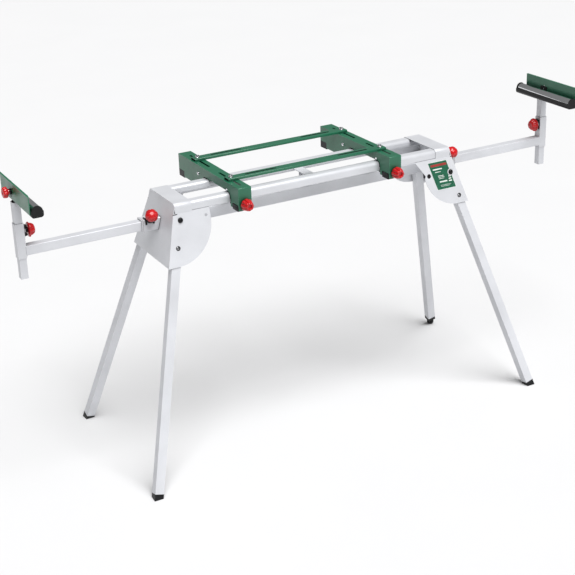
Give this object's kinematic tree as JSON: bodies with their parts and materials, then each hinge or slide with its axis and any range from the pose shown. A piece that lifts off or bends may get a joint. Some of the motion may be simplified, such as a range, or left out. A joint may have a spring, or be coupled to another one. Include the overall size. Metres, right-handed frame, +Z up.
{
  "type": "extending mitre saw stand",
  "caption": "Folding work stand with splayed legs, a two-rail bed, sliding arms with roller supports and clamp-on brackets that carry a mitre saw.",
  "frame": {"origin": "on the floor under the middle of the bed", "axes": "+X along the bed towards the end with the data label and the levelling foot, -Y towards the side with the bracket knobs, +Z up"},
  "size_m": [2.0866, 0.6562, 1.0395],
  "materials": {
    "painted_silver": "satin",
    "painted_green": "satin",
    "red_plastic": "gloss",
    "black_plastic": "matte",
    "rubber": "matte",
    "chrome": "polished",
    "zinc_steel": "satin",
    "label": "gloss"
  },
  "bodies": {
    "bed": {"rail_front": "painted_silver", "rail_rear": "painted_silver", "cross_member": "painted_silver", "guide_tube": "painted_silver", "housing_left": "painted_silver", "housing_right": "painted_silver", "bush_left": "black_plastic", "bush_right": "black_plastic", "data_label": "label", "pivot_front_left": "black_plastic", "pivot_rear_left": "black_plastic", "pivot_front_right": "black_plastic", "pivot_rear_right": "black_plastic"},
    "leg_front_left": {"leg_front_left": "painted_silver", "foot_front_left": "black_plastic"},
    "lock_front_left": {"lock_front_left": "zinc_steel"},
    "leg_rear_left": {"leg_rear_left": "painted_silver", "foot_rear_left": "black_plastic"},
    "lock_rear_left": {"lock_rear_left": "zinc_steel"},
    "leg_front_right": {"leg_front_right": "painted_silver", "foot_front_right": "black_plastic"},
    "lock_front_right": {"lock_front_right": "zinc_steel"},
    "leg_rear_right": {"leg_rear_right": "painted_silver", "foot_rear_right": "black_plastic"},
    "lock_rear_right": {"lock_rear_right": "zinc_steel"},
    "levelling_foot": {"levelling_foot": "black_plastic"},
    "arm_left": {"arm_left": "painted_silver"},
    "arm_knob_left": {"arm_knob_left": "red_plastic"},
    "post_left": {"post_left": "painted_silver", "cradle_left": "black_plastic"},
    "post_knob_left": {"post_knob_left": "red_plastic"},
    "roller_left": {"roller_left": "chrome"},
    "stop_left": {"stop_left": "painted_green"},
    "stop_knob_left": {"stop_knob_left": "red_plastic"},
    "arm_right": {"arm_right": "painted_silver"},
    "arm_knob_right": {"arm_knob_right": "red_plastic"},
    "post_right": {"post_right": "painted_silver", "cradle_right": "black_plastic"},
    "post_knob_right": {"post_knob_right": "red_plastic"},
    "roller_right": {"roller_right": "chrome"},
    "stop_right": {"stop_right": "painted_green"},
    "stop_knob_right": {"stop_knob_right": "red_plastic"},
    "saw_mount": {"bracket_left": "painted_green", "bracket_right": "painted_green", "pad_left": "rubber", "pad_right": "rubber", "shoe_left": "black_plastic", "shoe_right": "black_plastic", "tool_rail_front": "painted_green", "tool_rail_rear": "painted_green", "bolts_front": "zinc_steel", "bolts_rear": "zinc_steel"},
    "jaw_left": {"jaw_left": "black_plastic"},
    "bracket_knob_left": {"bracket_knob_left": "red_plastic"},
    "jaw_right": {"jaw_right": "black_plastic"},
    "bracket_knob_right": {"bracket_knob_right": "red_plastic"}
  },
  "joints": [
    {"name": "fold_front_left", "type": "hinge", "parent": "bed", "child": "leg_front_left", "pos_m": [-0.51179, -0.10655, 0.83829], "axis": [0, -0.9659, 0.2588], "range_deg": [0, 105]},
    {"name": "press_front_left", "type": "slide", "parent": "leg_front_left", "child": "lock_front_left", "axis": [0, 0.9659, -0.2588], "range_m": [0, 0.004], "stiffness_N_per_m": 800},
    {"name": "fold_rear_left", "type": "hinge", "parent": "bed", "child": "leg_rear_left", "pos_m": [-0.51179, 0.10655, 0.83829], "axis": [0, -0.9659, -0.2588], "range_deg": [0, 105]},
    {"name": "press_rear_left", "type": "slide", "parent": "leg_rear_left", "child": "lock_rear_left", "axis": [0, -0.9659, -0.2588], "range_m": [0, 0.004], "stiffness_N_per_m": 800},
    {"name": "fold_front_right", "type": "hinge", "parent": "bed", "child": "leg_front_right", "pos_m": [0.52053, -0.11499, 0.8068], "axis": [0, 0.9659, -0.2588], "range_deg": [0, 105]},
    {"name": "press_front_right", "type": "slide", "parent": "leg_front_right", "child": "lock_front_right", "axis": [0, 0.9659, -0.2588], "range_m": [0, 0.004], "stiffness_N_per_m": 800},
    {"name": "fold_rear_right", "type": "hinge", "parent": "bed", "child": "leg_rear_right", "pos_m": [0.52053, 0.11499, 0.8068], "axis": [0, 0.9659, 0.2588], "range_deg": [0, 105]},
    {"name": "press_rear_right", "type": "slide", "parent": "leg_rear_right", "child": "lock_rear_right", "axis": [0, -0.9659, -0.2588], "range_m": [0, 0.004], "stiffness_N_per_m": 800},
    {"name": "levelling_screw", "type": "slide", "parent": "leg_rear_right", "child": "levelling_foot", "axis": [0.2588, 0.25, -0.933], "range_m": [-0.006, 0.012]},
    {"name": "arm_slide_left", "type": "slide", "parent": "bed", "child": "arm_left", "axis": [1, 0, 0], "range_m": [0, 0.34]},
    {"name": "arm_clamp_left", "type": "hinge", "parent": "bed", "child": "arm_knob_left", "pos_m": [-0.58091, -0.02, 0.829], "axis": [0, -0.7071, 0.7071], "range_deg": [0, 720]},
    {"name": "post_height_left", "type": "slide", "parent": "arm_left", "child": "post_left", "axis": [0, 0, 1], "range_m": [-0.065, 0.06]},
    {"name": "post_clamp_left", "type": "hinge", "parent": "arm_left", "child": "post_knob_left", "pos_m": [-1.007, 0, 0.872], "axis": [1, 0, 0], "range_deg": [0, 720]},
    {"name": "roller_spin_left", "type": "hinge", "parent": "post_left", "child": "roller_left", "pos_m": [-0.995, -0.035, 0.989], "axis": [0, 1, 0], "continuous": true},
    {"name": "stop_height_left", "type": "slide", "parent": "post_left", "child": "stop_left", "axis": [0, 0, 1], "range_m": [-0.009, 0.014]},
    {"name": "stop_clamp_left", "type": "hinge", "parent": "post_left", "child": "stop_knob_left", "pos_m": [-1.007, 0, 1.0035], "axis": [-1, 0, 0], "range_deg": [0, 720]},
    {"name": "arm_slide_right", "type": "slide", "parent": "bed", "child": "arm_right", "axis": [-1, 0, 0], "range_m": [0, 0.34]},
    {"name": "arm_clamp_right", "type": "hinge", "parent": "bed", "child": "arm_knob_right", "pos_m": [0.58091, -0.02, 0.829], "axis": [0, -0.7071, 0.7071], "range_deg": [0, 720]},
    {"name": "post_height_right", "type": "slide", "parent": "arm_right", "child": "post_right", "axis": [0, 0, 1], "range_m": [-0.065, 0.06]},
    {"name": "post_clamp_right", "type": "hinge", "parent": "arm_right", "child": "post_knob_right", "pos_m": [1.007, 0, 0.872], "axis": [-1, 0, 0], "range_deg": [0, 720]},
    {"name": "roller_spin_right", "type": "hinge", "parent": "post_right", "child": "roller_right", "pos_m": [0.995, -0.035, 0.989], "axis": [0, 1, 0], "continuous": true},
    {"name": "stop_height_right", "type": "slide", "parent": "post_right", "child": "stop_right", "axis": [0, 0, 1], "range_m": [-0.009, 0.014]},
    {"name": "stop_clamp_right", "type": "hinge", "parent": "post_right", "child": "stop_knob_right", "pos_m": [1.007, 0, 1.0035], "axis": [1, 0, 0], "range_deg": [0, 720]},
    {"name": "mount_slide", "type": "slide", "parent": "bed", "child": "saw_mount", "axis": [1, 0, 0], "range_m": [-0.07, 0.09]},
    {"name": "jaw_slide_left", "type": "slide", "parent": "saw_mount", "child": "jaw_left", "axis": [0, -1, 0], "range_m": [0, 0.003]},
    {"name": "mount_clamp_left", "type": "hinge", "parent": "saw_mount", "child": "bracket_knob_left", "pos_m": [-0.307, -0.162, 0.868], "axis": [0, -1, 0], "range_deg": [0, 730]},
    {"name": "jaw_slide_right", "type": "slide", "parent": "saw_mount", "child": "jaw_right", "axis": [0, -1, 0], "range_m": [0, 0.003]},
    {"name": "mount_clamp_right", "type": "hinge", "parent": "saw_mount", "child": "bracket_knob_right", "pos_m": [0.261, -0.162, 0.868], "axis": [0, -1, 0], "range_deg": [0, 730]}
  ],
  "couplings": [
    {"joint": "mount_clamp_left", "follows": "jaw_slide_left", "rad_per_m": 4188.8},
    {"joint": "mount_clamp_right", "follows": "jaw_slide_right", "rad_per_m": 4188.8}
  ]
}
